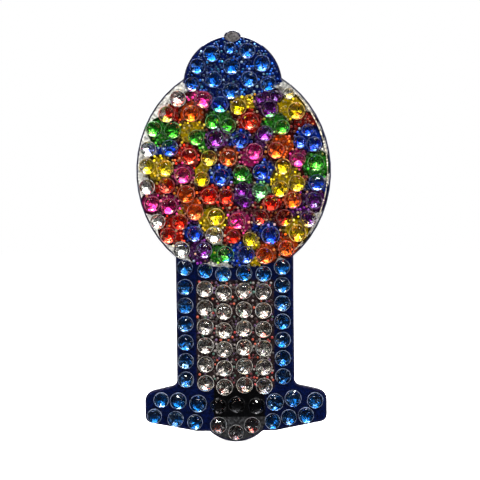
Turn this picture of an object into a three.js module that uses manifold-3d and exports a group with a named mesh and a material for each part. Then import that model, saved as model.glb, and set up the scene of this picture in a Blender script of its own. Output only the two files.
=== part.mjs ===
// Flat stick-on crystal badge in the shape of a gumball machine: a printed film on a soft carrier,
// covered in domed flat-back stones and micro beads set in clear resin, with an adhesive back and
// a two-part release liner.
// Millimetres. +Z is up, +X is to the right, the stones face -Y. The origin is the centre of the
// adhesive's back face, half way up the badge.
import * as THREE from "three";
import { mergeVertices } from "three/addons/utils/BufferGeometryUtils.js";
import Module from "manifold-3d";

const wasm = await Module();
wasm.setup();

// Layers, from the liner at the back to the resin at the front
const LINER_T = 0.13;
const ADHESIVE_T = 0.25;
const CARRIER_T = 0.9;
const FILM_T = 0.1;
const COAT_T = 0.3;
const FILM_BACK = -(ADHESIVE_T + CARRIER_T);
const COAT_BACK = FILM_BACK - FILM_T;
const STONE_BACK = COAT_BACK - COAT_T;

// Outline
const HALF_HEIGHT = 28.5;
const KNOB = { z: 27.25, r: 1.25 };
const LID = { z: 20.9, r: 6.85 };
const GLOBE = { z: 8.95, a: 13.5, b: 14.85 };
const BODY_HALF = 8.15;
const FOOT_TOP = -20.75;
const FOOT_HALF = 12.6;
const FOOT_BASE = -27.05;
const TRAY = { z: -23.1, r: 5.4 };
const ARC_STEPS = 8;

// Printed fields that carry micro beads
const FIELD_INSET = 0.35;
const LID_EDGE = { z: 31.76, r: 12.56 };
const COLLAR_EDGE = { z: 18.5, r: 22.9 };
const PANEL = { x0: -5.35, x1: 5.4, z0: -21.0, z1: -6.1 };
const BEAD_T = 0.3;
const BEAD_GAP = 0.04;

// Stones: a flat back, an upright girdle and a faceted crown under a flat table
const STONE_R = 1.15;
const STONE_H = 1.05;
const GIRDLE_H = 0.3;
const TABLE_RATIO = 0.52;
const STONE_SIDES = 8;
const BRIDGE_W = 0.5;
const BRIDGE_T = 0.15;

const SLIT_HALF = 0.05;

// Every row lists its stones from left to right (columns from the top down) as [x, z, radius];
// a stone with no radius has the standard one.
const rows = [
  ["stone_row_lid_top", 0x1d4fc4, [[-2.9, 25.2], [-0.35, 26.0, 0.85], [2.05, 25.55, 1.1]]],
  ["stone_row_lid_middle", 0x1d4fc4, [[-4.85, 23.5, 1.08], [-0.15, 23.45], [4.05, 23.8]]],
  ["stone_row_lid_bottom", 0x1d4fc4,
    [[-5.65, 21.0, 1.02], [-2.65, 21.65], [-0.28, 20.0], [2.28, 21.6], [4.9, 20.95, 1.1]]],
  ["stone_row_globe_01", 0xb05cc8,
    [[-7.65, 19.05], [-4.1, 18.85, 1.2], [-1.8, 18.15], [0.75, 17.8, 1.1], [2.25, 18.85, 0.66],
      [3.75, 18.95, 0.7], [6.0, 19.25, 0.82], [7.75, 19.6, 0.8]]],
  ["stone_row_globe_02", 0xe0552a,
    [[-9.2, 16.9], [-5.8, 16.95], [-2.8, 15.8, 1.05], [-0.7, 15.2, 1.05], [2.3, 15.8, 1.2],
      [5.05, 17.45], [8.75, 17.2, 1.2]]],
  ["stone_row_globe_03", 0x2f9a44,
    [[-11.0, 14.85, 1.1], [-8.4, 14.65], [-5.15, 13.6, 1.1], [-2.45, 13.4, 1.2], [0.95, 13.15, 1.1],
      [4.4, 14.1, 1.1], [6.75, 14.95, 1.05], [10.3, 14.5, 0.85]]],
  ["stone_row_globe_04", 0x2f6bd0,
    [[-11.8, 12.1, 1.1], [-8.8, 12.2], [-6.15, 11.0], [-3.4, 10.75, 1.1], [-0.7, 10.75], [2.9, 11.6],
      [5.9, 11.75], [9.2, 12.85, 0.88], [11.15, 12.55, 1.05]]],
  ["stone_row_globe_05", 0xe6c52a,
    [[-12.0, 9.7, 1.1], [-9.5, 9.4], [-7.05, 8.4], [-4.4, 7.85, 1.05], [-1.7, 8.1, 1.2], [1.05, 8.6, 1.1],
      [3.75, 8.75, 1.1], [6.85, 9.5, 1.1], [8.95, 10.4, 1.0], [11.4, 9.95]]],
  ["stone_row_globe_06", 0xe0782a,
    [[-12.05, 6.85, 1.1], [-9.3, 7.0, 1.1], [-6.6, 5.8, 1.2], [-3.4, 5.5], [-1.05, 5.4, 1.05],
      [1.15, 6.4, 0.98], [3.65, 6.15, 1.1], [6.4, 6.4], [8.7, 7.15], [11.5, 7.2]]],
  ["stone_row_globe_07", 0xd23c86,
    [[-11.3, 4.5, 1.1], [-9.0, 4.15, 1.1], [-5.4, 3.3], [-2.5, 2.6, 1.2], [1.5, 4.55, 0.82],
      [5.1, 4.45, 1.1], [8.15, 4.8], [11.1, 4.75]]],
  ["stone_row_globe_08", 0xc62f4a, [[0.45, 2.05], [3.65, 2.45, 1.1], [7.0, 2.4], [10.3, 2.2]]],
  ["stone_row_globe_09", 0xd8a028,
    [[-10.6, 2.05, 1.05], [-7.5, 1.95, 1.1], [-5.45, 0.3, 1.1], [-2.75, 0.1, 1.2], [-0.15, -0.15, 0.98],
      [2.2, -0.5, 1.0], [5.0, 0.0, 1.25], [8.75, 0.25, 1.2]]],
  ["stone_row_globe_10", 0x7a4ac0,
    [[-9.15, 0.1, 1.1], [-7.35, -1.9], [-4.25, -2.0], [-1.25, -2.6], [1.55, -2.65, 1.2], [4.2, -2.85],
      [7.2, -1.85, 1.1]]],
  ["stone_row_collar", 0x1a46b8,
    [[-6.9, -4.35, 1.1], [-4.1, -4.8, 1.05], [-1.6, -5.3, 1.1], [1.3, -5.2, 1.1], [4.0, -5.35, 1.1],
      [6.55, -4.4, 1.1]]],
  ["stone_row_chute", 0x1b1b1e, [[-2.45, -23.55, 1.1], [0.1, -23.4], [2.85, -23.6]]],
  ["stone_row_tray", 0x8f8f96, [[-2.45, -26.2], [-0.05, -27.25, 1.08], [2.2, -26.25, 1.12]]],
  ["stone_row_foot_left_top", 0x173c9e, [[-10.35, -22.65, 1.05], [-8.0, -22.8], [-5.25, -23.2, 1.2]]],
  ["stone_row_foot_left_bottom", 0x173c9e, [[-11.3, -24.85, 1.0], [-8.4, -25.3, 1.1], [-5.7, -25.75, 1.05]]],
  ["stone_row_foot_right_top", 0x173c9e, [[5.4, -23.1, 1.2], [7.9, -22.6], [10.95, -22.9, 1.1]]],
  ["stone_row_foot_right_bottom", 0x173c9e, [[5.05, -25.75, 1.1], [7.3, -25.2, 1.08], [9.65, -24.95, 1.1]]],
];

// The two side columns and the panel are close to regular
const COLUMN_STONES = 6;
const leftColumn = [];
const rightColumn = [];
for (let i = 0; i < COLUMN_STONES; i += 1) {
  leftColumn.push([-6.9, -7.05 - 2.56 * i, 1.1]);
  rightColumn.push([6.55, -6.9 - 2.53 * i, 1.1]);
}
rows.push(["stone_column_left", 0x1a46b8, leftColumn]);
rows.push(["stone_column_right", 0x1a46b8, rightColumn]);

const PANEL_ROWS = 6;
const PANEL_PITCH = 2.61;
const panelTops = [[-4.15, -7.35], [-1.55, -7.9], [1.22, -7.65], [3.92, -7.8]];
for (let i = 0; i < PANEL_ROWS; i += 1) {
  const stones = panelTops.map(([x, z]) => [x, z - PANEL_PITCH * i, 1.13]);
  rows.push([`stone_row_panel_${i + 1}`, 0xb9bcc4, stones]);
}

// ---------- geometry helpers ----------

function toManifold(geometry) {
  const plain = geometry.index ? geometry.toNonIndexed() : geometry.clone();
  plain.deleteAttribute("normal");
  plain.deleteAttribute("uv");
  const merged = mergeVertices(plain, 1e-4);
  const mesh = new wasm.Mesh({
    numProp: 3,
    vertProperties: new Float32Array(merged.attributes.position.array),
    triVerts: new Uint32Array(merged.index.array),
  });
  return new wasm.Manifold(mesh);
}

function toGeometry(manifold) {
  const mesh = manifold.getMesh();
  const geometry = new THREE.BufferGeometry();
  geometry.setAttribute("position", new THREE.BufferAttribute(new Float32Array(mesh.vertProperties), 3));
  geometry.setIndex(new THREE.BufferAttribute(new Uint32Array(mesh.triVerts), 1));
  return geometry;
}

// A plate of the given (x, z) outline whose back is at y = back and whose front is thickness nearer
function plate(points, back, thickness) {
  const shape = new THREE.Shape(points);
  const geometry = new THREE.ExtrudeGeometry(shape, { depth: thickness, bevelEnabled: false });
  geometry.rotateX(Math.PI / 2);
  geometry.translate(0, back, 0);
  return geometry;
}

function stone([x, z, r = STONE_R]) {
  const profile = [
    new THREE.Vector2(0, 0),
    new THREE.Vector2(r, 0),
    new THREE.Vector2(r, GIRDLE_H),
    new THREE.Vector2(r * TABLE_RATIO, STONE_H),
    new THREE.Vector2(0, STONE_H),
  ];
  const geometry = new THREE.LatheGeometry(profile, STONE_SIDES);
  geometry.rotateX(Math.PI);
  geometry.translate(x, STONE_BACK, z);
  return geometry;
}

// The resin web between two neighbouring stones of a row
function bridge([x0, z0], [x1, z1], width, thickness) {
  const length = Math.hypot(x1 - x0, z1 - z0);
  const geometry = new THREE.BoxGeometry(length, thickness, width);
  geometry.rotateY(-Math.atan2(z1 - z0, x1 - x0));
  geometry.translate((x0 + x1) / 2, STONE_BACK - thickness / 2, (z0 + z1) / 2);
  return geometry;
}

function stoneRow(stones) {
  let row = toManifold(stone(stones[0]));
  for (let i = 1; i < stones.length; i += 1) {
    row = row.add(toManifold(stone(stones[i])));
    row = row.add(toManifold(bridge(stones[i - 1], stones[i], BRIDGE_W, BRIDGE_T)));
  }
  return row;
}

// ---------- outline ----------

// Where the lid's circle comes out of the globe's ellipse
function lidMeetsGlobe() {
  let low = 5.0;
  let high = LID.r;
  for (let i = 0; i < 40; i += 1) {
    const x = (low + high) / 2;
    const onLid = LID.z + Math.sqrt(LID.r ** 2 - x ** 2);
    const onGlobe = GLOBE.z + GLOBE.b * Math.sqrt(1 - (x / GLOBE.a) ** 2);
    if (onLid > onGlobe) low = x;
    else high = x;
  }
  return { x: low, z: LID.z + Math.sqrt(LID.r ** 2 - low ** 2) };
}

function rightHalf() {
  const rise = KNOB.z - LID.z;
  const knobHeight = (LID.r ** 2 - KNOB.r ** 2 + rise ** 2) / (2 * rise);
  const knobX = Math.sqrt(LID.r ** 2 - knobHeight ** 2);
  const meet = lidMeetsGlobe();
  const globeStart = Math.atan2((meet.z - GLOBE.z) / GLOBE.b, meet.x / GLOBE.a);
  const globeEnd = -Math.acos(BODY_HALF / GLOBE.a);
  const trayStart = Math.asin((FOOT_BASE - TRAY.z) / TRAY.r);

  const path = new THREE.Path();
  path.moveTo(0, HALF_HEIGHT);
  path.absarc(0, KNOB.z, KNOB.r, Math.PI / 2, Math.atan2(knobHeight - rise, knobX), true);
  path.absarc(0, LID.z, LID.r, Math.atan2(knobHeight, knobX), Math.atan2(meet.z - LID.z, meet.x), true);
  path.absellipse(0, GLOBE.z, GLOBE.a, GLOBE.b, globeStart, globeEnd, true, 0);
  path.lineTo(BODY_HALF, FOOT_TOP + 0.95);
  path.quadraticCurveTo(BODY_HALF, FOOT_TOP, BODY_HALF + 0.95, FOOT_TOP - 0.1);
  path.lineTo(11.3, -21.35);
  path.quadraticCurveTo(FOOT_HALF, -21.7, FOOT_HALF, -22.75);
  path.lineTo(FOOT_HALF, -24.7);
  path.quadraticCurveTo(FOOT_HALF, -25.65, 11.75, -25.85);
  path.lineTo(TRAY.r, FOOT_BASE);
  path.lineTo(TRAY.r * Math.cos(trayStart), FOOT_BASE);
  path.absarc(0, TRAY.z, TRAY.r, trayStart, -Math.PI / 2, true);
  return path.getPoints(ARC_STEPS);
}

function closedOutline() {
  const right = rightHalf();
  const left = right.slice(1, -1).reverse().map((p) => new THREE.Vector2(-p.x, p.y));
  return right.concat(left);
}

// One half of the outline, stopped short of the slit
function linerHalf(side) {
  const points = rightHalf().filter((p) => p.x > SLIT_HALF);
  const top = new THREE.Vector2(SLIT_HALF, HALF_HEIGHT);
  const bottom = new THREE.Vector2(SLIT_HALF, -HALF_HEIGHT);
  return [top, ...points, bottom].map((p) => new THREE.Vector2(side * p.x, p.y));
}

// ---------- bead fields ----------

function ring(z, a, b, steps) {
  const points = [];
  for (let i = 0; i < steps; i += 1) {
    const t = (2 * Math.PI * i) / steps;
    points.push(new THREE.Vector2(a * Math.cos(t), z + b * Math.sin(t)));
  }
  return points;
}

function fieldSolid(points) {
  return toManifold(plate(points, STONE_BACK, BEAD_T));
}

// Half the depth of a tool that cuts right through a field
const CUT_DEPTH = 2;
function deepDisc(edge, grow) {
  const circle = ring(edge.z, edge.r + grow, edge.r + grow, 96);
  return toManifold(plate(circle, STONE_BACK + CUT_DEPTH, 2 * CUT_DEPTH));
}

// A field with room left for every stone and web
function beadFill(field) {
  let fill = field;
  for (const [, , stones] of rows) {
    stones.forEach((one, i) => {
      const [x, z, r = STONE_R] = one;
      const hole = new THREE.CylinderGeometry(r + BEAD_GAP, r + BEAD_GAP, 2 * CUT_DEPTH, STONE_SIDES);
      hole.translate(x, STONE_BACK, z);
      fill = fill.subtract(toManifold(hole));
      if (i > 0) {
        const web = bridge(stones[i - 1], one, BRIDGE_W + 2 * BEAD_GAP, BRIDGE_T + BEAD_GAP);
        fill = fill.subtract(toManifold(web));
      }
    });
  }
  const pieces = fill.decompose();
  pieces.sort((a, b) => b.volume() - a.volume());
  return pieces[0];
}

function lidField() {
  const circle = fieldSolid(ring(LID.z, LID.r - FIELD_INSET, LID.r - FIELD_INSET, 64));
  return circle.intersect(deepDisc(LID_EDGE, -FIELD_INSET / 2));
}

function globeField() {
  const ellipse = fieldSolid(ring(GLOBE.z, GLOBE.a - FIELD_INSET, GLOBE.b - FIELD_INSET, 80));
  return ellipse.subtract(deepDisc(LID_EDGE, FIELD_INSET / 2)).intersect(deepDisc(COLLAR_EDGE, 0));
}

function panelField() {
  const corners = [[PANEL.x0, PANEL.z0], [PANEL.x1, PANEL.z0], [PANEL.x1, PANEL.z1], [PANEL.x0, PANEL.z1]];
  return fieldSolid(corners.map(([x, z]) => new THREE.Vector2(x, z)));
}

// ---------- assembly ----------

const group = new THREE.Group();
group.name = "crystal_gumball_machine_badge";

function add(name, geometry, color, roughness, opacity = 1) {
  const material = new THREE.MeshStandardMaterial({ color, roughness, metalness: 0 });
  material.transparent = opacity < 1;
  material.opacity = opacity;
  const mesh = new THREE.Mesh(geometry, material);
  mesh.name = name;
  group.add(mesh);
}

const outline = closedOutline();
add("release_liner_left", plate(linerHalf(-1), LINER_T, LINER_T), 0xf1e7cf, 0.75);
add("release_liner_right", plate(linerHalf(1), LINER_T, LINER_T), 0xf1e7cf, 0.75);
add("adhesive_sheet", plate(outline, 0, ADHESIVE_T), 0xe9e6dc, 0.35);
add("carrier_plate", plate(outline, -ADHESIVE_T, CARRIER_T), 0x17171c, 0.5);
add("printed_film", plate(outline, FILM_BACK, FILM_T), 0x2a49a0, 0.3);
add("clear_resin_coat", plate(outline, COAT_BACK, COAT_T), 0xdfe6ee, 0.1, 0.5);
add("bead_fill_lid", toGeometry(beadFill(lidField())), 0x3f86c9, 0.25);
add("bead_fill_globe", toGeometry(beadFill(globeField())), 0xcf8f3a, 0.25);
add("bead_fill_panel", toGeometry(beadFill(panelField())), 0xa89a9a, 0.25);
for (const [name, color, stones] of rows) {
  add(name, toGeometry(stoneRow(stones)), color, 0.08, 0.8);
}

export default group;
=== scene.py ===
import math
import random

import bmesh
import bpy
from mathutils import Euler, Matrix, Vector
from mathutils.geometry import delaunay_2d_cdt

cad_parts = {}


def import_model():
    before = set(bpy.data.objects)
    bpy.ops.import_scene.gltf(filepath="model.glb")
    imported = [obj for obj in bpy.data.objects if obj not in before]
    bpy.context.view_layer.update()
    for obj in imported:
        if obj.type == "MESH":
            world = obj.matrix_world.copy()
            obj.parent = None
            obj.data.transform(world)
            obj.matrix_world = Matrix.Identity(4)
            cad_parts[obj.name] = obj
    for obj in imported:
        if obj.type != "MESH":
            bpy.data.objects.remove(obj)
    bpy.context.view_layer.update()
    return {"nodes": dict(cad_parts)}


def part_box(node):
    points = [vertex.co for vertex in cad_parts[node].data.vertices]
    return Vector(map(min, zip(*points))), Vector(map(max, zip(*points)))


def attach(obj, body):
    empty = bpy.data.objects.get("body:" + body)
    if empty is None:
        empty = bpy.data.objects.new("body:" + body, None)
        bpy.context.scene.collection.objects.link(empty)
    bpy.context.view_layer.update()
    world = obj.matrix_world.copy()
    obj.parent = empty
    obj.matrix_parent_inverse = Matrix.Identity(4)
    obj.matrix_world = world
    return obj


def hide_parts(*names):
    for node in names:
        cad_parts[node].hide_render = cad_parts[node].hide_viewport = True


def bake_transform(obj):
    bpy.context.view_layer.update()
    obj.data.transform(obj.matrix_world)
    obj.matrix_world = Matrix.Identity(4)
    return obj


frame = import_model()

MM = 0.001
rng = random.Random(11)

# ------------------------------------------------------------------ sizes, in mm
HALF_HEIGHT = 28.5
GLOBE_Z, GLOBE_A, GLOBE_B = 8.95, 13.5, 14.85
LID_Z, LID_R = 20.9, 6.85
LID_EDGE_Z, LID_EDGE_R = 31.76, 12.56        # the arc that ends the lid over the globe
COLLAR_Z, COLLAR_R = 18.5, 22.9              # the arc that ends the globe over the body
TRAY_Z, TRAY_R = -23.1, 5.4
PANEL = (-5.4, 5.4, -21.05, -6.1)            # x0, x1, z0, z1
CHUTE = (-3.05, 4.0, -25.1, -21.05)
TABLE_RATIO = 0.52
LINE_WIDTH = 0.22                            # the dark line all round the outline
GLASSY_BAND = 1.7                            # how far in the globe's bare glass edge reaches
FILM_INSET = 0.09                            # from the outline to the flat front of the resin
STONE_INK = 0.97                             # the share of a stone's radius that its printed spot fills
KNOB_Z = 25                                  # above this, and off the lid, lies the knob
SHOULDER_X = 8.2                             # outside this, above the middle, lies the globe's rim
GLOBE_FOOT_Z = -3.0                          # below this the globe is bare glass between its balls
TRAY_HALF = 3.8                              # half the width of the tray's print
KNOB_STEP = 0.22                             # between the points of the knob's lower edge
BALL_CORE = 0.8                              # a printed ball darkens outside this share of its radius
SLIT_HALF = 0.05                             # half the slit between the liner's halves
LINER_STRIP = 0.55                           # how wide the liner's strips are
STRIPS_FROM, STRIPS_TO = 0.6, 13.4           # where the cuts between them begin and end
STRIP_GAP = 0.02                             # from a cut's ends to the outline
FILM_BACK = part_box("printed_film")[1].y / MM
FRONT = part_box("clear_resin_coat")[0].y / MM
STONE_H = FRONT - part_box("stone_row_tray")[0].y / MM

# ------------------------------------------------------------------ how dark the print is between the stones
GAP_GAIN = 0.12                              # everywhere but on the two below
GLASSY_GAIN = 0.3                            # the globe's bare glass
KNOB_GAIN = 0.13
GLASSY_RIGHT = 0.6                           # times this on the right, which is darker than the left
BALL_EDGE_GAIN = 0.15                        # times this in a printed ball's dark edge

# ------------------------------------------------------------------ colours (sRGB 0-255)
def srgb(r, g, b):
    def one(c):
        c /= 255
        return c / 12.92 if c <= 0.04045 else ((c + 0.055) / 1.055) ** 2.4
    return (one(r), one(g), one(b), 1.0)


INK = {
    "red": srgb(216, 30, 4),
    "darkred": srgb(150, 26, 16),
    "orange": srgb(236, 84, 6),
    "yellow": srgb(240, 200, 0),
    "green": srgb(48, 160, 30),
    "lightgreen": srgb(110, 190, 110),
    "blue": srgb(6, 54, 176),
    "purple": srgb(98, 22, 116),
    "magenta": srgb(204, 40, 120),
    "lid": srgb(0, 66, 150),
    "lid_gap": srgb(2, 34, 124),
    "body": srgb(2, 68, 126),
    "body_gap": srgb(2, 24, 86),
    "silver": srgb(188, 182, 170),
    "silver_gap": srgb(70, 52, 52),
    "chute": srgb(10, 10, 11),
    "tray": srgb(84, 84, 86),
    "glassy": srgb(222, 220, 212),
    "knob": srgb(150, 145, 145),
    "line": srgb(16, 16, 34),
    "globe_gap": srgb(96, 16, 22),
}

# The printed gumballs, painted in this order: x, z, radius, ink
BALLS = [
    (0.5, 3.4, 1.5, "red"), (-7.6, 3.4, 1.1, "yellow"), (-2.9, -0.9, 1.2, "glassy"),
    (6.5, 0.6, 1.6, "darkred"),
    (-7.6, 17.2, 1.65, "red"), (-4.6, 18.9, 1.8, "magenta"), (-5.7, 16.9, 2.0, "orange"),
    (-1.8, 18.3, 1.6, "blue"), (1.4, 18.1, 1.8, "yellow"), (5.0, 18.5, 2.15, "purple"),
    (8.0, 17.5, 2.1, "yellow"), (9.9, 15.3, 1.9, "darkred"), (-5.7, 14.3, 2.0, "yellow"),
    (-2.0, 15.9, 1.95, "green"), (2.2, 15.7, 1.9, "red"), (5.8, 15.2, 1.9, "green"),
    (-9.95, 11.9, 1.8, "blue"), (-9.7, 14.5, 2.15, "green"), (-4.3, 12.9, 1.75, "green"),
    (-2.2, 13.4, 1.85, "purple"), (1.0, 13.2, 1.7, "blue"), (4.3, 13.4, 1.6, "purple"),
    (6.7, 12.3, 2.05, "orange"), (10.5, 13.2, 2.1, "blue"), (-4.2, 9.0, 1.95, "yellow"),
    (-6.4, 11.0, 2.0, "red"), (-0.7, 10.9, 1.65, "orange"), (2.5, 11.0, 1.85, "magenta"),
    (9.0, 10.5, 1.65, "magenta"), (11.5, 6.2, 1.75, "blue"), (11.5, 9.7, 2.1, "green"),
    (-9.6, 7.0, 1.85, "red"), (-10.2, 9.3, 2.05, "yellow"), (-7.0, 8.5, 1.7, "magenta"),
    (4.4, 8.7, 1.8, "blue"), (1.3, 7.9, 1.4, "green"), (-1.9, 8.2, 1.9, "blue"),
    (7.3, 7.5, 2.3, "yellow"), (-6.7, 5.7, 1.7, "orange"), (-3.3, 5.6, 1.75, "red"),
    (-0.9, 5.3, 1.6, "red"), (3.9, 5.9, 1.6, "lightgreen"), (1.3, 5.6, 1.8, "purple"),
    (-11.4, 4.6, 1.6, "magenta"), (-9.0, 4.4, 1.7, "magenta"), (9.7, 4.5, 1.6, "purple"),
    (11.2, 4.8, 1.75, "purple"), (7.9, 5.0, 1.55, "orange"), (-4.9, 1.9, 1.4, "purple"),
    (-5.6, 3.9, 1.6, "orange"), (5.2, 4.1, 1.75, "red"), (-8.4, 0.9, 2.2, "red"),
    (3.0, 1.5, 1.1, "blue"), (4.6, 2.6, 1.6, "darkred"), (8.1, 2.7, 1.3, "purple"),
    (6.6, 2.4, 1.5, "darkred"), (9.8, 2.9, 1.3, "purple"), (0.7, 1.9, 1.95, "magenta"),
    (-3.0, 2.2, 2.1, "yellow"), (8.6, 0.6, 2.0, "yellow"), (-5.7, 0.4, 1.4, "blue"),
    (-4.7, -2.1, 1.9, "purple"), (-0.3, 0.0, 1.45, "red"), (0.6, -2.6, 1.95, "blue"),
    (-2.3, -2.5, 1.35, "green"), (5.2, -1.4, 1.4, "orange"), (4.7, 0.5, 1.6, "blue"),
    (7.4, -1.6, 1.75, "orange"), (4.4, -2.5, 1.75, "orange"), (2.4, -1.0, 1.2, "yellow"),
    (2.8, -3.7, 0.8, "yellow"),
]

# Glitter caught between the panel's crystals and mirrored in them
GLITTER = [srgb(*c) for c in ((190, 84, 60), (170, 50, 44), (70, 110, 96), (60, 44, 42), (50, 40, 40),
                              (40, 34, 36), (150, 140, 134), (96, 34, 40), (84, 60, 96), (60, 56, 54))]

# ------------------------------------------------------------------ helpers
def inside_ellipse(x, z, inset=0.0):
    return (x / (GLOBE_A - inset)) ** 2 + ((z - GLOBE_Z) / (GLOBE_B - inset)) ** 2 <= 1


def inside_disc(x, z, cz, r):
    return x * x + (z - cz) ** 2 <= r * r


def in_rect(x, z, rect):
    return rect[0] <= x <= rect[1] and rect[2] <= z <= rect[3]


def knob_foot(x):
    """The knob's lower edge."""
    return 26.85 + 0.42 * x * x


def in_knob(x, z):
    return abs(x) < 1.32 and z > knob_foot(x)


def in_lid(x, z):
    if in_knob(x, z):
        return False
    return inside_disc(x, z, LID_Z, LID_R + 0.01) and inside_disc(x, z, LID_EDGE_Z, LID_EDGE_R)


def in_globe(x, z):
    return inside_ellipse(x, z) and inside_disc(x, z, COLLAR_Z, COLLAR_R) and not in_lid(x, z)


def mesh_object(name, verts, faces):
    mesh = bpy.data.meshes.new(name)
    mesh.from_pydata([tuple(c * MM for c in v) for v in verts], [], faces)
    mesh.update()
    obj = bpy.data.objects.new(name, mesh)
    bpy.context.scene.collection.objects.link(obj)
    return obj


def paint(obj, colours):
    """One colour per face, stored on the face corners."""
    layer = obj.data.color_attributes.new("print", "FLOAT_COLOR", "CORNER")
    for poly in obj.data.polygons:
        for loop in poly.loop_indices:
            layer.data[loop].color = colours[poly.index]


# ------------------------------------------------------------------ materials
def new_material(name):
    material = bpy.data.materials.new(name)
    material.use_nodes = True
    nodes = material.node_tree.nodes
    return material, nodes, material.node_tree.links, nodes["Principled BSDF"]


def print_material():
    """Printed film under a skin of clear resin."""
    m, nodes, links, bsdf = new_material("print_under_resin")
    colour = nodes.new("ShaderNodeAttribute")
    colour.attribute_name = "print"
    coords = nodes.new("ShaderNodeTexCoord")
    grain = nodes.new("ShaderNodeTexNoise")
    grain.inputs["Scale"].default_value = 2600
    grain.inputs["Detail"].default_value = 3
    ramp = nodes.new("ShaderNodeValToRGB")
    ramp.color_ramp.elements[0].position = 0.38
    ramp.color_ramp.elements[0].color = (0.3, 0.3, 0.3, 1)
    ramp.color_ramp.elements[1].position = 0.66
    ramp.color_ramp.elements[1].color = (2.0, 2.0, 2.0, 1)
    mix = nodes.new("ShaderNodeMix")
    mix.data_type = "RGBA"
    mix.blend_type = "MULTIPLY"
    mix.inputs["Factor"].default_value = 0.8
    wave = nodes.new("ShaderNodeTexNoise")
    wave.inputs["Scale"].default_value = 700
    bump = nodes.new("ShaderNodeBump")
    bump.inputs["Strength"].default_value = 0.25
    bump.inputs["Distance"].default_value = 0.0002
    links.new(coords.outputs["Object"], grain.inputs["Vector"])
    links.new(coords.outputs["Object"], wave.inputs["Vector"])
    links.new(grain.outputs["Fac"], ramp.inputs["Fac"])
    links.new(colour.outputs["Color"], mix.inputs["A"])
    links.new(ramp.outputs["Color"], mix.inputs["B"])
    links.new(mix.outputs["Result"], bsdf.inputs["Base Color"])
    links.new(wave.outputs["Fac"], bump.inputs["Height"])
    links.new(bump.outputs["Normal"], bsdf.inputs["Coat Normal"])
    bsdf.inputs["Roughness"].default_value = 0.45
    bsdf.inputs["Specular IOR Level"].default_value = 0.0
    bsdf.inputs["Coat Weight"].default_value = 1.0
    bsdf.inputs["Coat Roughness"].default_value = 0.06
    return m


def crystal_material():
    m, nodes, links, bsdf = new_material("clear_crystal")
    bsdf.inputs["Base Color"].default_value = (0.97, 0.98, 1.0, 1)
    bsdf.inputs["Roughness"].default_value = 0.0
    bsdf.inputs["IOR"].default_value = 1.52
    bsdf.inputs["Transmission Weight"].default_value = 1.0
    coords = nodes.new("ShaderNodeTexCoord")
    wear = nodes.new("ShaderNodeTexNoise")
    wear.inputs["Scale"].default_value = 1800
    bump = nodes.new("ShaderNodeBump")
    bump.inputs["Strength"].default_value = 0.06
    bump.inputs["Distance"].default_value = 0.00005
    links.new(coords.outputs["Object"], wear.inputs["Vector"])
    links.new(wear.outputs["Fac"], bump.inputs["Height"])
    links.new(bump.outputs["Normal"], bsdf.inputs["Normal"])
    return m


def foil_material():
    """Coloured mirror foil under each crystal."""
    m, nodes, links, bsdf = new_material("crystal_foil")
    colour = nodes.new("ShaderNodeAttribute")
    colour.attribute_name = "print"
    coords = nodes.new("ShaderNodeTexCoord")
    crinkle = nodes.new("ShaderNodeTexNoise")
    crinkle.inputs["Scale"].default_value = 3000
    ramp = nodes.new("ShaderNodeValToRGB")
    ramp.color_ramp.elements[0].position = 0.3
    ramp.color_ramp.elements[0].color = (0.6, 0.6, 0.6, 1)
    ramp.color_ramp.elements[1].position = 0.7
    ramp.color_ramp.elements[1].color = (1.15, 1.15, 1.15, 1)
    mix = nodes.new("ShaderNodeMix")
    mix.data_type = "RGBA"
    mix.blend_type = "MULTIPLY"
    mix.inputs["Factor"].default_value = 0.7
    bump = nodes.new("ShaderNodeBump")
    bump.inputs["Strength"].default_value = 0.15
    bump.inputs["Distance"].default_value = 0.0001
    links.new(coords.outputs["Object"], crinkle.inputs["Vector"])
    links.new(crinkle.outputs["Fac"], ramp.inputs["Fac"])
    links.new(colour.outputs["Color"], mix.inputs["A"])
    links.new(ramp.outputs["Color"], mix.inputs["B"])
    links.new(mix.outputs["Result"], bsdf.inputs["Base Color"])
    links.new(crinkle.outputs["Fac"], bump.inputs["Height"])
    links.new(bump.outputs["Normal"], bsdf.inputs["Normal"])
    bsdf.inputs["Metallic"].default_value = 0.95
    bsdf.inputs["Roughness"].default_value = 0.2
    return m


def bead_material():
    m, nodes, links, bsdf = new_material("micro_beads")
    colour = nodes.new("ShaderNodeAttribute")
    colour.attribute_name = "print"
    coords = nodes.new("ShaderNodeTexCoord")
    pits = nodes.new("ShaderNodeTexNoise")
    pits.inputs["Scale"].default_value = 4200
    bump = nodes.new("ShaderNodeBump")
    bump.inputs["Strength"].default_value = 0.2
    bump.inputs["Distance"].default_value = 0.00003
    links.new(coords.outputs["Object"], pits.inputs["Vector"])
    links.new(pits.outputs["Fac"], bump.inputs["Height"])
    links.new(bump.outputs["Normal"], bsdf.inputs["Normal"])
    links.new(colour.outputs["Color"], bsdf.inputs["Base Color"])
    bsdf.inputs["Metallic"].default_value = 0.7
    bsdf.inputs["Roughness"].default_value = 0.3
    bsdf.inputs["Coat Weight"].default_value = 0.6
    bsdf.inputs["Coat Roughness"].default_value = 0.05
    return m


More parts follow.
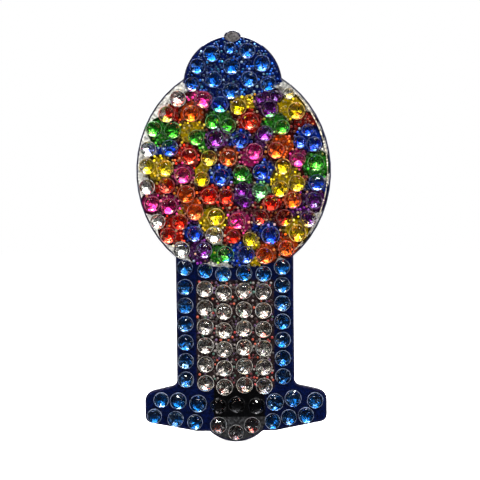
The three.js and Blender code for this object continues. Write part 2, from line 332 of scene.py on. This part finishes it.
def foam_material():
    m, nodes, links, bsdf = new_material("carrier_foam")
    coords = nodes.new("ShaderNodeTexCoord")
    cells = nodes.new("ShaderNodeTexVoronoi")
    cells.inputs["Scale"].default_value = 5200
    ramp = nodes.new("ShaderNodeValToRGB")
    ramp.color_ramp.elements[0].color = srgb(22, 22, 28)
    ramp.color_ramp.elements[1].color = srgb(52, 52, 60)
    bump = nodes.new("ShaderNodeBump")
    bump.inputs["Strength"].default_value = 0.5
    bump.inputs["Distance"].default_value = 0.0001
    links.new(coords.outputs["Object"], cells.inputs["Vector"])
    links.new(cells.outputs["Distance"], ramp.inputs["Fac"])
    links.new(ramp.outputs["Color"], bsdf.inputs["Base Color"])
    links.new(cells.outputs["Distance"], bump.inputs["Height"])
    links.new(bump.outputs["Normal"], bsdf.inputs["Normal"])
    bsdf.inputs["Roughness"].default_value = 0.8
    return m


def adhesive_material():
    m, nodes, links, bsdf = new_material("adhesive")
    coords = nodes.new("ShaderNodeTexCoord")
    noise = nodes.new("ShaderNodeTexNoise")
    noise.inputs["Scale"].default_value = 900
    ramp = nodes.new("ShaderNodeValToRGB")
    ramp.color_ramp.elements[0].color = srgb(132, 128, 116)
    ramp.color_ramp.elements[1].color = srgb(174, 170, 158)
    links.new(coords.outputs["Object"], noise.inputs["Vector"])
    links.new(noise.outputs["Fac"], ramp.inputs["Fac"])
    links.new(ramp.outputs["Color"], bsdf.inputs["Base Color"])
    bsdf.inputs["Roughness"].default_value = 0.3
    return m


def liner_material():
    m, nodes, links, bsdf = new_material("liner_paper")
    coords = nodes.new("ShaderNodeTexCoord")
    fibre = nodes.new("ShaderNodeTexNoise")
    fibre.inputs["Scale"].default_value = 3800
    fibre.inputs["Detail"].default_value = 6
    ramp = nodes.new("ShaderNodeValToRGB")
    ramp.color_ramp.elements[0].position = 0.15
    ramp.color_ramp.elements[0].color = srgb(152, 138, 104)
    ramp.color_ramp.elements[1].position = 0.8
    ramp.color_ramp.elements[1].color = srgb(182, 168, 132)
    bump = nodes.new("ShaderNodeBump")
    bump.inputs["Strength"].default_value = 0.2
    bump.inputs["Distance"].default_value = 0.0001
    links.new(coords.outputs["Object"], fibre.inputs["Vector"])
    links.new(fibre.outputs["Fac"], ramp.inputs["Fac"])
    links.new(ramp.outputs["Color"], bsdf.inputs["Base Color"])
    links.new(fibre.outputs["Fac"], bump.inputs["Height"])
    links.new(bump.outputs["Normal"], bsdf.inputs["Normal"])
    bsdf.inputs["Roughness"].default_value = 0.45
    bsdf.inputs["Sheen Weight"].default_value = 0.1
    return m


# ------------------------------------------------------------------ stones, read from the CAD rows
def stones_of(node):
    """[(x, z, radius)] in mm: the centre and size of each stone's flat table."""
    mesh = frame["nodes"][node].data
    front = min(v.co.y for v in mesh.vertices)
    parent = {}

    def find(k):
        while parent[k] != k:
            k = parent[k]
        return k

    for poly in mesh.polygons:
        points = [mesh.vertices[i].co for i in poly.vertices]
        if all(p.y < front + 2e-6 for p in points):
            keys = [(round(p.x * 1e6), round(p.z * 1e6)) for p in points]
            for k in keys:
                parent.setdefault(k, k)
            for k in keys[1:]:
                parent[find(keys[0])] = find(k)
    groups = {}
    for k in parent:
        groups.setdefault(find(k), []).append(k)
    stones = []
    for keys in groups.values():
        x = (min(k[0] for k in keys) + max(k[0] for k in keys)) / 2000
        z = (min(k[1] for k in keys) + max(k[1] for k in keys)) / 2000
        reach = max(math.hypot(k[0] / 1000 - x, k[1] / 1000 - z) for k in keys)
        stones.append((x, z, reach / TABLE_RATIO))
    return sorted(stones)


ROWS = sorted(n for n in frame["nodes"] if n.startswith("stone_"))
STONES = {row: stones_of(row) for row in ROWS}
ALL_STONES = [s for row in ROWS for s in STONES[row]]

# ------------------------------------------------------------------ the print
def ring(cx, cz, a, b, steps):
    turns = [2 * math.pi * i / steps for i in range(steps)]
    return [(cx + a * math.cos(t), cz + b * math.sin(t)) for t in turns]


def walk_round(follow):
    """The points of a closed loop in order, from {point: next point}."""
    start = next(iter(follow))
    loop, k = [start], follow[start]
    while k != start:
        loop.append(k)
        k = follow[k]
    return loop


def cad_outline():
    """The film's outline, in order, from the front face of its CAD node."""
    mesh = frame["nodes"]["printed_film"].data
    front = min(v.co.y for v in mesh.vertices)
    edges = {}
    for poly in mesh.polygons:
        points = [mesh.vertices[i].co for i in poly.vertices]
        if all(abs(p.y - front) < 2e-6 for p in points):
            keys = [(round(p.x * 1e6), round(p.z * 1e6)) for p in points]
            for a, b in zip(keys, keys[1:] + keys[:1]):
                if (b, a) in edges:
                    del edges[(b, a)]
                else:
                    edges[(a, b)] = True
    points = [(a / 1000, b / 1000) for a, b in walk_round(dict(edges.keys()))]
    area = sum(p[0] * q[1] - q[0] * p[1] for p, q in zip(points, points[1:] + points[:1]))
    return points if area > 0 else points[::-1]


def inset(points, distance):
    """The outline moved inwards by distance."""
    out = []
    n = len(points)
    for i in range(n):
        p, q, r = Vector(points[i - 1]), Vector(points[i]), Vector(points[(i + 1) % n])
        d0, d1 = (q - p).normalized(), (r - q).normalized()
        n0, n1 = Vector((-d0.y, d0.x)), Vector((-d1.y, d1.x))
        bisector = (n0 + n1).normalized()
        scale = distance / max(0.5, bisector.dot(n0))
        out.append(tuple(q + bisector * scale))
    return out


def gap_ink(x, z):
    ink = ink_at(x, z)
    if ink == INK["knob"]:
        return dim(ink, KNOB_GAIN)
    if ink == INK["glassy"]:
        return dim(ink, GLASSY_GAIN * (1.0 if x < 0 else GLASSY_RIGHT))
    return dim(ink, GAP_GAIN * (1.0 if in_ball_core(x, z) else BALL_EDGE_GAIN))


def in_ball_core(x, z):
    """False only in the dark edge of the topmost printed ball."""
    core = True
    if in_globe(x, z):
        for bx, bz, br, _ in BALLS:
            d = (x - bx) ** 2 + (z - bz) ** 2
            if d < br * br:
                core = d < (br * BALL_CORE) ** 2
    return core


def ink_at(x, z):
    under = any((x - sx) ** 2 + (z - sz) ** 2 < (sr * STONE_INK) ** 2 for sx, sz, sr in ALL_STONES)
    if in_lid(x, z):
        return INK["lid"] if under else INK["lid_gap"]
    if in_globe(x, z):
        found = None
        for bx, bz, br, name in BALLS:
            if (x - bx) ** 2 + (z - bz) ** 2 < br * br:
                found = name
        if found:
            return INK[found]
        bare = not inside_ellipse(x, z, GLASSY_BAND) or z <= GLOBE_FOOT_Z
        return INK["glassy"] if bare else INK["globe_gap"]
    if z > KNOB_Z or (z > 0 and abs(x) > SHOULDER_X):
        return INK["knob"] if z > KNOB_Z else INK["glassy"]
    if in_rect(x, z, PANEL):
        return INK["silver"] if under else INK["silver_gap"]
    if in_rect(x, z, CHUTE):
        return INK["chute"]
    if inside_disc(x, z, TRAY_Z, TRAY_R) and z < CHUTE[2] and abs(x) < TRAY_HALF:
        return INK["tray"]
    return INK["body"] if under else INK["body_gap"]


def print_piece():
    outer = cad_outline()
    edge = inset(outer, FILM_INSET)
    verts, edges = [], []

    def loop(points):
        start = len(verts)
        verts.extend(Vector(p) for p in points)
        count = len(points)
        edges.extend((start + i, start + (i + 1) % count) for i in range(count))

    loop(edge)
    line = inset(outer, LINE_WIDTH)
    loop(line)
    for x, z, r, _ in BALLS:
        loop(ring(x, z, r, r, 36))
        loop(ring(x, z, r * BALL_CORE, r * BALL_CORE, 24))
    for x, z, r in ALL_STONES:
        loop(ring(x, z, r * STONE_INK, r * STONE_INK, 20))
    arc = len(verts)                          # the knob's foot
    verts.extend(Vector((KNOB_STEP * k, knob_foot(KNOB_STEP * k))) for k in range(-6, 7))
    edges.extend((arc + k, arc + k + 1) for k in range(12))
    loop(ring(0, LID_EDGE_Z, LID_EDGE_R, LID_EDGE_R, 160))
    loop(ring(0, COLLAR_Z, COLLAR_R, COLLAR_R, 240))
    loop(ring(0, GLOBE_Z, GLOBE_A - GLASSY_BAND, GLOBE_B - GLASSY_BAND, 90))
    loop(ring(0, GLOBE_Z, GLOBE_A, GLOBE_B, 120))
    for rect in (PANEL, CHUTE):
        x0, x1, z0, z1 = rect
        loop([(x0, z0), (x1, z0), (x1, z1), (x0, z1)])
    result = delaunay_2d_cdt(verts, edges, [tuple(range(len(edge)))], 0, 1e-4)
    points = result[0]
    faces = [face for face, origin in zip(result[2], result[5]) if origin]
    out_verts = [(p.x, FRONT, p.y) for p in points]
    out_faces, colours = [], []
    for face in faces:
        cx = sum(points[i].x for i in face) / len(face)
        cz = sum(points[i].y for i in face) / len(face)
        out_faces.append(tuple(reversed(face)) if signed(points, face) > 0 else tuple(face))
        colours.append(gap_ink(cx, cz) if within(cx, cz, line) else INK["line"])
    # the rounded edge of the resin, then the wall down to the carrier
    walk = walk_round(border_of(out_faces))
    near = inset(outer, 0.025)
    n = len(walk)
    rings = [walk]
    for target, y in ((near, FRONT + 0.05), (outer, FRONT + 0.12), (outer, FILM_BACK)):
        base = len(out_verts)
        for k in walk:
            x, z = slide(out_verts[k][0], out_verts[k][2], edge, target)
            out_verts.append((x, y, z))
        rings.append(list(range(base, base + n)))
    for upper, lower in zip(rings, rings[1:]):
        for i in range(n):
            j = (i + 1) % n
            out_faces.append((upper[i], upper[j], lower[j], lower[i]))
            colours.append(INK["line"])
    out_faces.append(tuple(rings[-1]))
    colours.append(INK["line"])
    obj = mesh_object("printed_film_under_resin", out_verts, out_faces)
    paint(obj, colours)
    merge(obj)
    return obj


def border_of(faces):
    """{vertex: next vertex} round the open border of some faces."""
    edges = set()
    for face in faces:
        for a, b in zip(face, face[1:] + face[:1]):
            if (b, a) in edges:
                edges.remove((b, a))
            else:
                edges.add((a, b))
    return dict(edges)


def within(x, z, polygon):
    odd = False
    for (ax, az), (bx, bz) in zip(polygon, polygon[1:] + polygon[:1]):
        if (az > z) != (bz > z) and x < ax + (z - az) * (bx - ax) / (bz - az):
            odd = not odd
    return odd


def slide(x, z, source, target):
    """Where a point on one outline sits on another with the same corners."""
    best = None
    for i in range(len(source)):
        j = (i + 1) % len(source)
        (ax, az), (bx, bz) = source[i], source[j]
        length = (bx - ax) ** 2 + (bz - az) ** 2
        t = min(1.0, max(0.0, ((x - ax) * (bx - ax) + (z - az) * (bz - az)) / length)) if length else 0.0
        gap = (ax + t * (bx - ax) - x) ** 2 + (az + t * (bz - az) - z) ** 2
        if best is None or gap < best[0]:
            best = (gap, i, j, t)
    _, i, j, t = best
    return (target[i][0] * (1 - t) + target[j][0] * t, target[i][1] * (1 - t) + target[j][1] * t)


def signed(points, face):
    pairs = zip(face, face[1:] + face[:1])
    return sum(points[a].x * points[b].y - points[b].x * points[a].y for a, b in pairs)


def merge(obj):
    bm = bmesh.new()
    bm.from_mesh(obj.data)
    bmesh.ops.delete(bm, geom=[v for v in bm.verts if not v.link_faces], context="VERTS")
    bmesh.ops.remove_doubles(bm, verts=bm.verts, dist=2e-7)
    bmesh.ops.recalc_face_normals(bm, faces=bm.faces)
    bm.to_mesh(obj.data)
    bm.free()


# ------------------------------------------------------------------ crystals
SIDES = 12
# Each tier is (share of the stone's radius, height in mm, shift in sides).
DOME = [(0.965, -0.02, 0.0), (0.965, 0.34, 0.0), (0.83, 0.6, 0.5), (0.6, 0.92, 0.0),
        (TABLE_RATIO, STONE_H, 0.0)]
CUP = [(0.945, 0.36, 0.0), (0.72, 0.23, 0.5), (0.42, 0.11, 0.0)]
CUP_POINT = 0.03
RIM = [(1.0, -0.02), (1.0, 0.2), (0.985, 0.25), (0.97, 0.2), (0.97, -0.02)]
RIM_STEPS = 24
LEAN = 0.09                                  # the most a dome's upper tiers slope
CUP_TURN, CUP_LIFT, CUP_SHIFT = 0.22, 0.045, 0.15    # how uneven a foil cup is: sides, mm, share of radius
FOIL_GAIN = (0.35, 1.7)                      # from the darkest facet to the lightest
OUTER_FOIL = 0.6                             # facets beyond this share of the radius glint more often
# how much paler the resin rim round a stone is painted, on the globe and on the body: a painted ring of
# light
RIM_PAINTED_LIGHT_GLOBE, RIM_PAINTED_LIGHT_BODY = 0.16, 0.26


def tier_faces(faces, start, tiers):
    """Facets between one tier's ring of points and the next."""
    for level in range(len(tiers) - 1):
        a0 = start + level * SIDES
        b0 = a0 + SIDES
        here, after = tiers[level][2], tiers[level + 1][2]
        for i in range(SIDES):
            j = (i + 1) % SIDES
            if here == after:
                faces.append((a0 + i, b0 + i, b0 + j, a0 + j))
            elif after > here:
                faces.append((a0 + i, b0 + i, a0 + j))
                faces.append((a0 + j, b0 + i, b0 + j))
            else:
                faces.append((a0 + i, b0 + i, b0 + j))
                faces.append((a0 + i, b0 + j, a0 + j))


def dome(verts, faces, x, z, r, turn, lean):
    start = len(verts)
    for share, height, shift in DOME:
        for i in range(SIDES):
            a = turn + 2 * math.pi * (i + shift) / SIDES
            px, pz = share * r * math.cos(a), share * r * math.sin(a)
            lift = height
            if height > 0.5:
                lift = min(STONE_H, height + lean[0] * px + lean[1] * pz)
            verts.append((x + px, FRONT - lift, z + pz))
    tier_faces(faces, start, DOME)
    top = start + (len(DOME) - 1) * SIDES
    faces.append(tuple(top + i for i in range(SIDES)))
    faces.append(tuple(start + i for i in reversed(range(SIDES))))


def cup(verts, faces, x, z, r, turn):
    start = len(verts)
    for share, height, shift in CUP:
        for i in range(SIDES):
            a = turn + 2 * math.pi * (i + shift + rng.uniform(-CUP_TURN, CUP_TURN)) / SIDES
            h = height + rng.uniform(-CUP_LIFT, CUP_LIFT)
            verts.append((x + share * r * math.cos(a), FRONT - h, z + share * r * math.sin(a)))
    off_x = rng.uniform(-CUP_SHIFT, CUP_SHIFT) * r
    off_z = rng.uniform(-CUP_SHIFT, CUP_SHIFT) * r
    verts.append((x + off_x, FRONT - CUP_POINT, z + off_z))
    tier_faces(faces, start, CUP)
    inner = start + (len(CUP) - 1) * SIDES
    point = inner + SIDES
    foot = len(verts)
    verts.extend((verts[start + i][0], FRONT + 0.01, verts[start + i][2]) for i in range(SIDES))
    for i in range(SIDES):
        j = (i + 1) % SIDES
        faces.append((inner + i, point, inner + j))
        faces.append((start + i, start + j, foot + j, foot + i))
    faces.append(tuple(foot + i for i in range(SIDES)))


def rim(verts, faces, x, z, r):
    start = len(verts)
    for share, height in RIM:
        for i in range(RIM_STEPS):
            a = 2 * math.pi * i / RIM_STEPS
            verts.append((x + share * r * math.cos(a), FRONT - height, z + share * r * math.sin(a)))
    for level in range(len(RIM)):
        for i in range(RIM_STEPS):
            j = (i + 1) % RIM_STEPS
            a, b = start + level * RIM_STEPS, start + (level + 1) % len(RIM) * RIM_STEPS
            faces.append((a + i, b + i, b + j, a + j))


def foil_colour(ink, outer):
    """One facet of the foil: the stone's ink, lighter or darker at random, now and then paled towards a
    glint colour: a painted glint, which also shows for real where a lamp reflects in it.
    """
    gain = rng.uniform(*FOIL_GAIN)
    # facets near the edge are more often paled towards the glint colour: painted glints
    glint_shares = (0, 0, 0, 0.1, 0.3, 0.85) if outer else (0, 0, 0, 0, 0, 0.15)
    bare = rng.choice(glint_shares) * min(1, 12 * max(ink[:3]))
    pairs = zip(ink[:3], glint_of(ink))
    return tuple(min(1.0, c * gain * (1 - bare) + g * bare) for c, g in pairs) + (1.0,)


def glint_of(ink):
    """The colour of the painted glints in the stones and beads of this ink."""
    if max(ink[:3]) < 1.3 * min(ink[:3]):
        return (0.8, 0.78, 0.72)
    return (0.92, 0.78, 0.45) if ink[0] > ink[2] else (0.6, 0.85, 0.95)


def painted_rim_light(ink, z):
    """The resin rim is painted paler than its stone, a painted ring of light where the girdle catches it;
    palest on the body, but black stays black.
    """
    paler = RIM_PAINTED_LIGHT_GLOBE if z > COLLAR_Z - COLLAR_R else RIM_PAINTED_LIGHT_BODY
    return dim(lighten(ink, paler * min(1, 30 * max(ink[:3]))), 0.8)


def crystal_rows(crystal, foil, resin):
    for row in ROWS:
        domes, dome_faces = [], []
        cups, cup_faces = [], []
        rims, rim_faces = [], []
        cup_inks, painted_rim_lights = [], []
        for x, z, r in STONES[row]:
            turn = rng.uniform(0, 2 * math.pi)
            lean = (rng.uniform(-LEAN, LEAN), rng.uniform(-LEAN, LEAN))
            ink = ink_at(x, z)
            dome(domes, dome_faces, x, z, r, turn, lean)
            count = len(cup_faces)
            cup(cups, cup_faces, x, z, r, turn)
            for k in range(count, len(cup_faces)):
                px, pz = face_middle(cups, cup_faces[k])
                outer = math.hypot(px - x, pz - z) > OUTER_FOIL * r
                facet = mix_ink(ink, ink_at(px, pz), 0.75)
                if ink == INK["silver"] or ink == INK["tray"]:
                    facet = mix_ink(facet, rng.choice(GLITTER), rng.choice((0, 0.2, 0.45, 0.8)))
                cup_inks.append(foil_colour(facet, outer))
            count = len(rim_faces)
            rim(rims, rim_faces, x, z, r)
            painted_rim_lights.extend([painted_rim_light(ink, z)] * (len(rim_faces) - count))
        verts = domes + cups + rims
        n, m = len(domes), len(domes) + len(cups)
        faces = dome_faces + [tuple(n + i for i in f) for f in cup_faces]
        faces += [tuple(m + i for i in f) for f in rim_faces]
        obj = mesh_object(row.replace("stone_", "crystals_"), verts, faces)
        for material in (crystal, foil, resin):
            obj.data.materials.append(material)
        white = (1.0, 1.0, 1.0, 1.0)
        paint(obj, [white] * len(dome_faces) + cup_inks + painted_rim_lights)
        for k, poly in enumerate(obj.data.polygons):
            in_dome, in_cup = k < len(dome_faces), k < len(dome_faces) + len(cup_faces)
            poly.material_index = 0 if in_dome else 1 if in_cup else 2
            poly.use_smooth = poly.material_index == 2
        face_outwards(obj)
        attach(obj, "badge")
        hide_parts(row)


def face_middle(verts, face):
    return (sum(verts[i][0] for i in face) / len(face), sum(verts[i][2] for i in face) / len(face))


def mix_ink(a, b, t):
    return tuple(p * (1 - t) + q * t for p, q in zip(a, b))


def face_outwards(obj):
    bm = bmesh.new()
    bm.from_mesh(obj.data)
    bmesh.ops.recalc_face_normals(bm, faces=bm.faces)
    bm.to_mesh(obj.data)
    bm.free()


# ------------------------------------------------------------------ micro beads
BEAD_SIDES = 8
BEAD_TALL = 1.1                              # a bead's height as a share of its radius
BEAD_STEP = 0.08                             # added to the height of all but its foot
BEAD_SPACING, BEAD_KEEP = 0.4, 0.95
PANEL_SPACING, PANEL_KEEP = 0.36, 0.92
BEAD_SINK = 0.05                             # how deep its foot is set in the resin
LID_FIELD_INSET, GLOBE_FIELD_INSET, PANEL_FIELD_INSET = 0.35, 0.9, 0.2
RECENT = 160                                 # of the latest beads, enough to hold every near one
SPARKLE_INSET = 0.5
SPARKLE_BAND = 0.8                           # beads this near the globe's right edge are painted pale: painted glints


def bead_field(inside, spacing, keep):
    """Loose points about spacing apart, off the stones."""
    points = []
    row = 0
    z = -HALF_HEIGHT
    while z < HALF_HEIGHT:
        row += 1
        x = -GLOBE_A
        while x < GLOBE_A:
            px = x + rng.uniform(-0.2, 0.2) * spacing + (row % 2) * spacing / 2
            pz = z + rng.uniform(-0.2, 0.2) * spacing
            if rng.random() < keep and inside(px, pz):
                r = rng.uniform(0.14, 0.21)
                if all((px - sx) ** 2 + (pz - sz) ** 2 > (sr + r * 0.7) ** 2 for sx, sz, sr in ALL_STONES):
                    if all((px - q[0]) ** 2 + (pz - q[1]) ** 2 > (r + q[2]) ** 2 for q in points[-RECENT:]):
                        points.append((px, pz, r))
            x += spacing
        z += spacing * 0.87
    return points


def bead_piece(name, node, points, tint, material):
    verts, faces, colours = [], [], []
    sides = BEAD_SIDES
    foot = FRONT + BEAD_SINK
    for x, z, r in points:
        colour = tint(x, z)
        start = len(verts)
        for k in range(3):
            lift = math.radians(30 * k)
            for i in range(sides):
                a = 2 * math.pi * i / sides
                reach = r * math.cos(lift)
                y = foot - r * BEAD_TALL * math.sin(lift) - BEAD_STEP * (k > 0)
                verts.append((x + reach * math.cos(a), y, z + reach * math.sin(a)))
        verts.append((x, foot - r * BEAD_TALL - BEAD_STEP, z))
        for k in range(2):
            for i in range(sides):
                j = (i + 1) % sides
                a, b = start + k * sides, start + (k + 1) * sides
                faces.append((a + i, a + j, b + j, b + i))
                colours.append(colour)
        for i in range(sides):
            faces.append((start + 2 * sides + i, start + 2 * sides + (i + 1) % sides, start + 3 * sides))
            colours.append(colour)
        faces.append(tuple(start + i for i in range(sides)))
        colours.append(colour)
    obj = mesh_object(name, verts, faces)
    paint(obj, colours)
    face_outwards(obj)
    for poly in obj.data.polygons:
        poly.use_smooth = True
    obj.data.materials.append(material)
    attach(obj, "badge")
    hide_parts(node)


def dim(colour, gain):
    return tuple(c * gain for c in colour[:3]) + (1.0,)


def lighten(colour, amount):
    return tuple(c + (1 - c) * amount for c in colour[:3]) + (1.0,)


# how much of a bead's colour is paled towards the glint colour: painted glints
BEAD_GLINTS = (0.0,) * 10 + (0.02, 0.05, 0.1, 0.4)
BEAD_GAINS = (0.05, 0.08, 0.12, 0.2, 0.35, 0.8, 2.0)
# gold and teal tints for the beads' painted glints
GOLD_GLINT = srgb(226, 170, 20)
TEAL_GLINT = srgb(60, 176, 190)
# the pale colour of the painted glints along the globe's right edge
PAINTED_SPARKLE = srgb(240, 226, 200)


def bead_tint(x, z):
    """A clear bead shows the ink below it; now and then it takes a painted glint: a teal tint on the lid, a
    gold one elsewhere, and a pale glint colour.
    """
    ink = ink_at(x, z)
    # near the globe's right edge a bead is painted pale: a painted glint
    if x > 0 and in_globe(x, z) and not inside_ellipse(x, z, SPARKLE_BAND):
        return dim(PAINTED_SPARKLE, rng.choice((0.3, 0.5, 1.0)))
    # now and then a bead takes a teal tint on the lid, a gold one elsewhere: a painted glint
    glint_tint = TEAL_GLINT if in_lid(x, z) else GOLD_GLINT
    if in_lid(x, z):
        ink = INK["lid"]
    ink = mix_ink(ink, glint_tint, rng.choice((0, 0, 0, 0, 0, 0.2, 0.5)))
    # and now and then it is paled towards the glint colour: a painted glint
    return mix_ink(dim(ink, rng.choice(BEAD_GAINS)), glint_of(ink) + (1.0,), rng.choice(BEAD_GLINTS))


def panel_tint(x, z):
    return rng.choice(GLITTER)


def painted_edge_sparkle():
    """A line of fine pale beads along the globe's right edge: painted glints."""
    points = []
    for k in range(-62, 66):
        a = math.radians(k * 0.8 + rng.uniform(-0.25, 0.25))
        x = (GLOBE_A - SPARKLE_INSET) * math.cos(a)
        z = GLOBE_Z + (GLOBE_B - SPARKLE_INSET) * math.sin(a)
        points.append((x, z, rng.uniform(0.07, 0.13)))
    return [(x, z, r) for x, z, r in points
            if all(math.hypot(x - sx, z - sz) > sr + r for sx, sz, sr in ALL_STONES)]


# ------------------------------------------------------------------ liner
def liner(side, material):
    """One half of the paper, divided into strips along its height by lines of edges."""
    name = "release_liner_left" if side < 0 else "release_liner_right"
    lo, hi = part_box(name)
    back, front = hi.y / MM, lo.y / MM
    half = [(max(SLIT_HALF, x * side), z) for x, z in cad_outline() if x * side > SLIT_HALF - 0.001]
    half = sorted_half(half, (SLIT_HALF, HALF_HEIGHT), (SLIT_HALF, -HALF_HEIGHT))
    verts = [Vector((side * x, z)) for x, z in half]
    if signed(verts, tuple(range(len(verts)))) < 0:
        verts.reverse()
    count = len(verts)
    edges = [(i, (i + 1) % count) for i in range(count)]
    x = STRIPS_FROM
    while x < STRIPS_TO:
        ends = spans(half, x)
        if ends:
            edges.append((len(verts), len(verts) + 1))
            verts.append(Vector((side * x, ends[0] + STRIP_GAP)))
            verts.append(Vector((side * x, ends[1] - STRIP_GAP)))
        x += LINER_STRIP
    result = delaunay_2d_cdt(verts, edges, [tuple(range(count))], 0, 1e-4)
    points = result[0]
    inner = [face for face, origin in zip(result[2], result[5]) if origin]
    sheet = [tuple(f) if signed(points, f) < 0 else tuple(reversed(f)) for f in inner]
    shift = len(points)
    out = [(p.x, front, p.y) for p in points] + [(p.x, back, p.y) for p in points]
    faces = sheet + [tuple(shift + i for i in reversed(f)) for f in sheet]
    faces += [(b, a, shift + a, shift + b) for a, b in border_of(sheet).items()]
    obj = mesh_object("liner_paper_left" if side < 0 else "liner_paper_right", out, faces)
    merge(obj)
    obj.data.materials.append(material)
    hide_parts(name)
    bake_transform(obj)


def sorted_half(points, top, bottom):
    """The right half's outline from the top of the slit round to its foot."""
    n = len(points)
    best = max(range(n), key=lambda i: points[i][1] - points[i][0] * 0.001)
    ordered = points[best:] + points[:best]
    if ordered[1][1] < ordered[-1][1]:
        ordered = [ordered[0]] + ordered[1:][::-1]
    if abs(ordered[0][1] - top[1]) < 1e-3 and abs(ordered[0][0] - top[0]) < 1e-3:
        ordered = ordered[1:]
    return [top] + ordered + [bottom]


def spans(half, x):
    """Lowest and highest z at which the half outline crosses x."""
    hits = []
    for (x0, z0), (x1, z1) in zip(half, half[1:] + half[:1]):
        if (x0 - x) * (x1 - x) < 0:
            hits.append(z0 + (z1 - z0) * (x - x0) / (x1 - x0))
    return (min(hits), max(hits)) if len(hits) >= 2 else None


# ------------------------------------------------------------------ build
resin = print_material()
film = print_piece()
film.data.materials.append(resin)
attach(film, "badge")
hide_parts("printed_film", "clear_resin_coat")

crystal_rows(crystal_material(), foil_material(), resin)


def lid_field(x, z):
    return in_lid(x, z) and inside_disc(x, z, LID_Z, LID_R - LID_FIELD_INSET)


def globe_field(x, z):
    return in_globe(x, z) and inside_ellipse(x, z, GLOBE_FIELD_INSET)


def panel_field(x, z):
    x0, x1, z0, z1 = PANEL
    d = PANEL_FIELD_INSET
    return in_rect(x, z, (x0 + d, x1 - d, z0 + d, z1 - d))


beads = bead_material()
lid_points = bead_field(lid_field, BEAD_SPACING, BEAD_KEEP)
bead_piece("beads_lid", "bead_fill_lid", lid_points, bead_tint, beads)
globe_points = bead_field(globe_field, BEAD_SPACING, BEAD_KEEP) + painted_edge_sparkle()
bead_piece("beads_globe", "bead_fill_globe", globe_points, bead_tint, beads)
panel_points = bead_field(panel_field, PANEL_SPACING, PANEL_KEEP)
bead_piece("beads_panel", "bead_fill_panel", panel_points, panel_tint, beads)

for node, material in (("carrier_plate", foam_material()), ("adhesive_sheet", adhesive_material())):
    frame["nodes"][node].data.materials.clear()
    frame["nodes"][node].data.materials.append(material)

paper = liner_material()
for side in (-1, 1):
    liner(side, paper)

# ------------------------------------------------------------------ stage, lights, camera
FLOOR_GAP = 0.03                             # the floor lies this far under the badge, in mm


def floor():
    mesh = bpy.data.meshes.new("floor")
    size = 3.0                                # metres
    z = -(HALF_HEIGHT + FLOOR_GAP) * MM
    corners = [(-size, -size, z), (size, -size, z), (size, size, z), (-size, size, z)]
    mesh.from_pydata(corners, [], [(0, 1, 2, 3)])
    obj = bpy.data.objects.new("floor", mesh)
    bpy.context.scene.collection.objects.link(obj)
    m, nodes, links, bsdf = new_material("floor")
    bsdf.inputs["Base Color"].default_value = (0.9, 0.9, 0.9, 1)
    bsdf.inputs["Roughness"].default_value = 0.9
    bsdf.inputs["Emission Color"].default_value = (1, 1, 1, 1)
    bsdf.inputs["Emission Strength"].default_value = 0.84
    obj.data.materials.append(m)
    obj.visible_glossy = False
    obj.visible_transmission = False


def area_light(name, position, size, power):
    data = bpy.data.lights.new(name, "AREA")
    data.shape = "RECTANGLE"
    data.size, data.size_y = size
    data.energy = power
    obj = bpy.data.objects.new(name, data)
    obj.location = position
    obj.rotation_euler = (Vector((0, 0, 0)) - Vector(position)).to_track_quat("-Z", "Y").to_euler()
    bpy.context.scene.collection.objects.link(obj)


def world():
    """White behind the badge, a grey room for diffuse light, a dark one for reflections."""
    w = bpy.data.worlds.new("studio")
    w.use_nodes = True
    bpy.context.scene.world = w
    nodes, links = w.node_tree.nodes, w.node_tree.links
    seen = nodes["Background"]
    seen.inputs["Color"].default_value = (1, 1, 1, 1)
    seen.inputs["Strength"].default_value = 1.0
    soft = nodes.new("ShaderNodeBackground")
    soft.inputs["Color"].default_value = (1, 1, 1, 1)
    soft.inputs["Strength"].default_value = 0.2
    lit = nodes.new("ShaderNodeBackground")
    lit.inputs["Color"].default_value = (0.5, 0.52, 0.56, 1)
    lit.inputs["Strength"].default_value = 0.09
    path = nodes.new("ShaderNodeLightPath")
    inner = nodes.new("ShaderNodeMixShader")
    mix = nodes.new("ShaderNodeMixShader")
    links.new(path.outputs["Is Diffuse Ray"], inner.inputs[0])
    links.new(lit.outputs[0], inner.inputs[1])
    links.new(soft.outputs[0], inner.inputs[2])
    links.new(path.outputs["Is Camera Ray"], mix.inputs[0])
    links.new(inner.outputs[0], mix.inputs[1])
    links.new(seen.outputs[0], mix.inputs[2])
    links.new(mix.outputs[0], nodes["World Output"].inputs["Surface"])


VIEW_WIDTH = 66.576                          # how much the camera sees across at the print, in mm
PRINT_OUT = 1.25                             # how far the print is from the origin, in mm
AIM_X, AIM_Z = 0.78, -0.61
ROLL = -0.59                                 # degrees


def camera():
    data = bpy.data.cameras.new("camera")
    data.lens = 100
    data.sensor_width = 36
    distance = VIEW_WIDTH * data.lens / data.sensor_width
    obj = bpy.data.objects.new("camera", data)
    obj.location = (AIM_X * MM, -(distance + PRINT_OUT) * MM, AIM_Z * MM)
    obj.rotation_euler = Euler((math.radians(90), 0, 0))
    obj.rotation_euler.rotate_axis("Z", math.radians(ROLL))
    data.clip_start = 0.01
    bpy.context.scene.collection.objects.link(obj)
    bpy.context.scene.camera = obj


floor()
world()
camera()
# name, position and size in metres, power in watts
for light in (("key_above", (0.02, -0.3, 0.34), (0.3, 0.2), 2.6),
              ("top_strip", (0.0, -0.08, 0.4), (0.5, 0.12), 7.5),
              ("fill_left", (-0.4, -0.3, 0.12), (0.14, 0.14), 0.4),
              ("fill_right", (0.4, -0.3, 0.08), (0.14, 0.14), 0.3),
              ("rim_back", (0.1, 0.45, 0.35), (0.25, 0.25), 0.3)):
    area_light(*light)
bpy.context.scene.view_settings.view_transform = "Standard"
